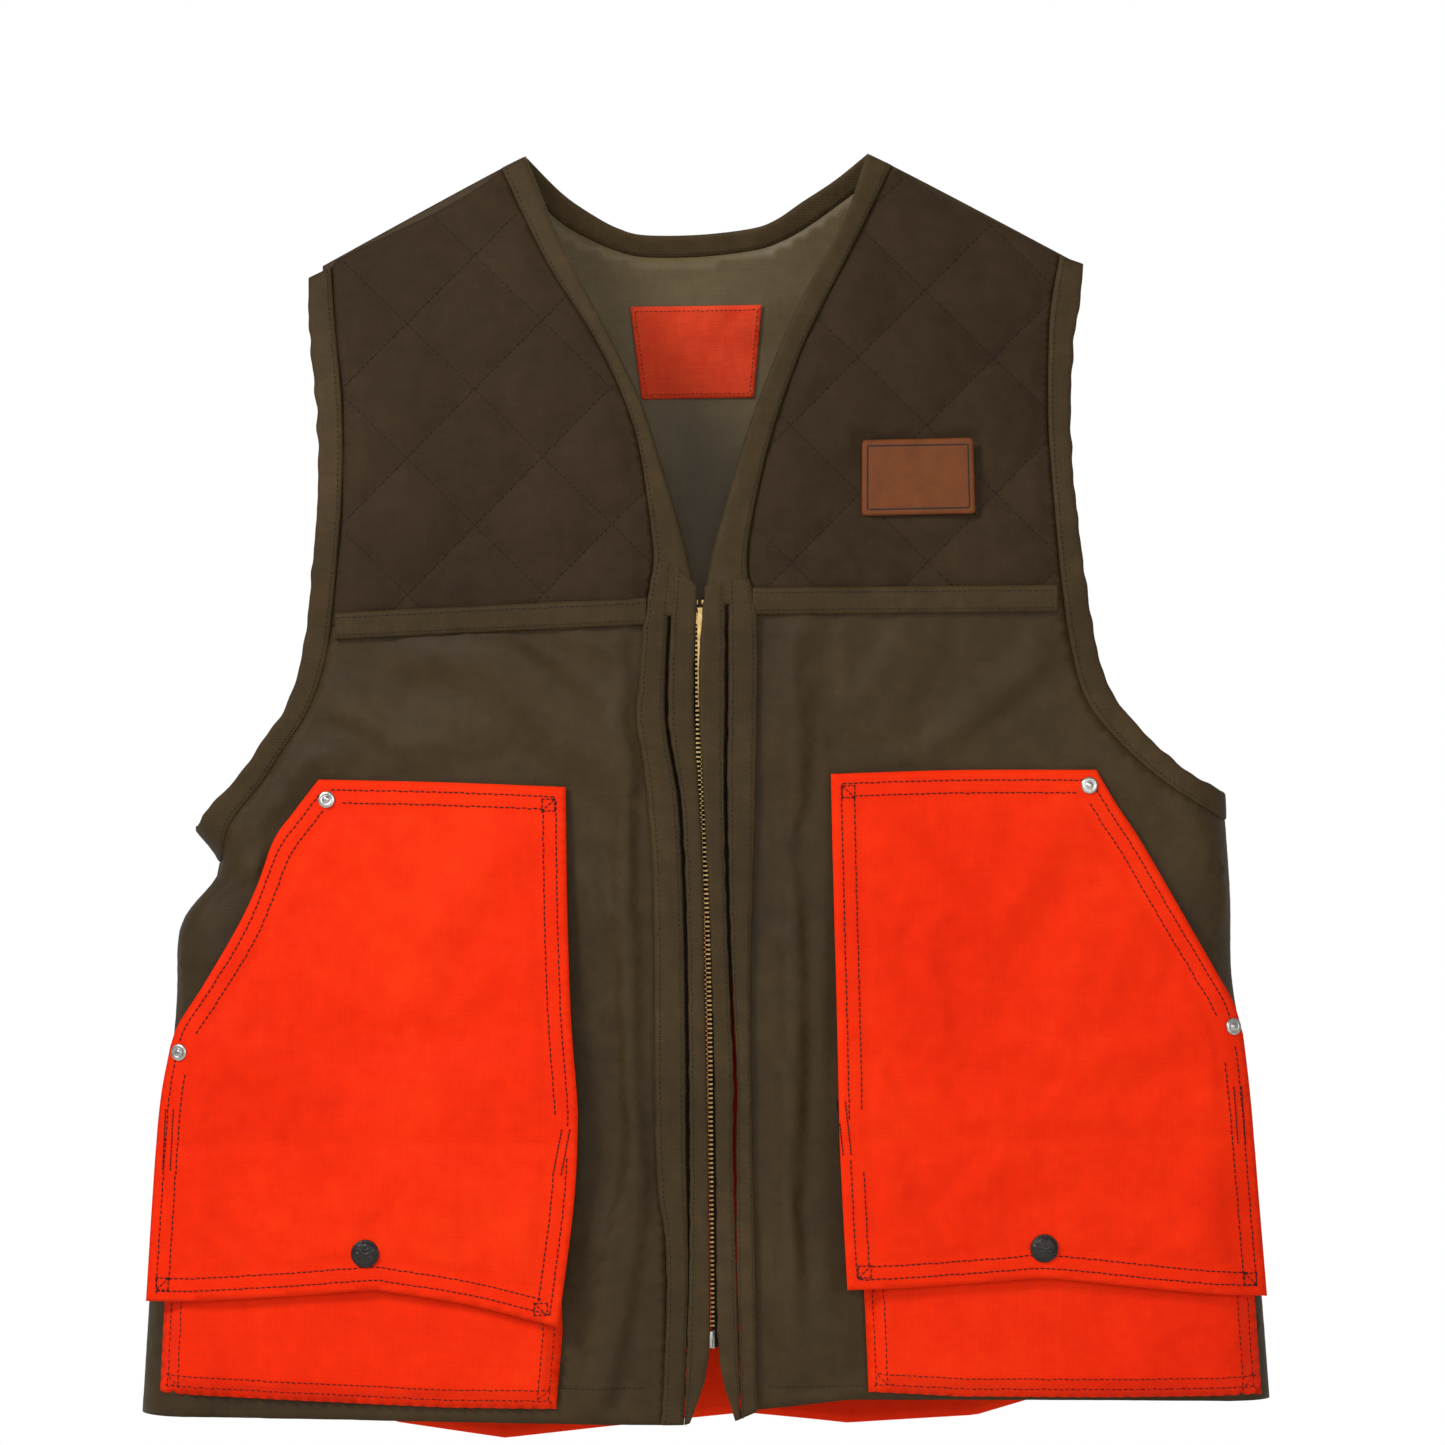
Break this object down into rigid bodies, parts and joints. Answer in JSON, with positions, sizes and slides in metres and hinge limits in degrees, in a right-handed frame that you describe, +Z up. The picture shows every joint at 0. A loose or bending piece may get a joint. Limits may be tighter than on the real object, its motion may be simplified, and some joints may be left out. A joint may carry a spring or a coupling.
{
  "type": "field vest",
  "caption": "Sleeveless zip-front field vest with quilted shoulder yokes, bound edges, orange flap pockets with snaps and an inner game bag.",
  "frame": {"origin": "between the two neck points of the shoulder line, where a hanger or shoulders carry the vest", "axes": "+Z up, front faces -Y, +X the wearer's left"},
  "size_m": [0.6214, 0.109, 0.703],
  "materials": {
    "olive_cloth": "satin woven nylon, dark olive brown",
    "lining_cloth": "smooth satin lining, grey olive",
    "quilted_cloth": "matte diamond-quilted cotton, dark brown",
    "binding_cloth": "folded grosgrain binding, olive brown",
    "orange_cloth": "coated blaze orange cloth",
    "orange_label": "woven orange label, blank",
    "leather": "brown leather with a dark inset line",
    "zip_tape": "dark woven zipper tape",
    "brass": "brass zipper metal",
    "nickel": "polished nickel",
    "dark_snap": "black-brown enamelled brass"
  },
  "bodies": {
    "vest": {"front_panel_left": "olive_cloth", "front_lining_left": "lining_cloth", "yoke_left": "quilted_cloth", "yoke_tape_left": "binding_cloth", "placket_left": "binding_cloth", "zip_guard_left": "binding_cloth", "hem_facing_front_left": "olive_cloth", "vee_binding_left": "binding_cloth", "armhole_binding_front_left": "binding_cloth", "armhole_binding_back_left": "binding_cloth", "pocket_panel_left": "orange_cloth", "pouch_left": "orange_cloth", "snap_stud_left": "nickel", "snap_post_left": "nickel", "zipper_tape_left": "zip_tape", "zipper_teeth_left": "brass", "front_panel_right": "olive_cloth", "front_lining_right": "lining_cloth", "yoke_right": "quilted_cloth", "yoke_tape_right": "binding_cloth", "placket_right": "binding_cloth", "zip_guard_right": "binding_cloth", "hem_facing_front_right": "olive_cloth", "vee_binding_right": "binding_cloth", "armhole_binding_front_right": "binding_cloth", "armhole_binding_back_right": "binding_cloth", "pocket_panel_right": "orange_cloth", "pouch_right": "orange_cloth", "snap_stud_right": "nickel", "snap_post_right": "nickel", "zipper_tape_right": "zip_tape", "zipper_teeth_right": "brass", "back_lining": "lining_cloth", "back_panel": "olive_cloth", "hem_facing_back": "olive_cloth", "back_neck_binding": "binding_cloth", "game_bag": "orange_cloth", "neck_label": "orange_label", "chest_patch": "leather", "pocket_rivets": "nickel", "rivet_burrs": "nickel", "zipper_top_stops": "brass", "zipper_box": "nickel", "zipper_pin": "nickel"},
    "flap_left": {"flap_left": "orange_cloth", "snap_cap_left": "dark_snap", "snap_socket_left": "nickel"},
    "flap_right": {"flap_right": "orange_cloth", "snap_cap_right": "dark_snap", "snap_socket_right": "nickel"},
    "slider": {"zipper_slider": "brass"},
    "pull": {"zipper_pull": "brass"}
  },
  "joints": [
    {"name": "flap_left_hinge", "type": "hinge", "parent": "vest", "child": "flap_left", "pos_m": [0.06016, -0.06179, -0.5433], "axis": [-0.9962, -0.0872, 0], "range_deg": [0, 170]},
    {"name": "flap_right_hinge", "type": "hinge", "parent": "vest", "child": "flap_right", "pos_m": [-0.06016, -0.06179, -0.5433], "axis": [-0.9962, 0.0872, 0], "range_deg": [0, 170]},
    {"name": "slider_slide", "type": "slide", "parent": "vest", "child": "slider", "axis": [0, 0, -1], "range_m": [0, 0.38], "deforming": ["zipper_teeth_left", "zipper_teeth_right"]},
    {"name": "pull_swing", "type": "hinge", "parent": "slider", "child": "pull", "pos_m": [0, -0.0492, -0.2555], "axis": [-1, 0, 0], "range_deg": [0, 150]}
  ]
}
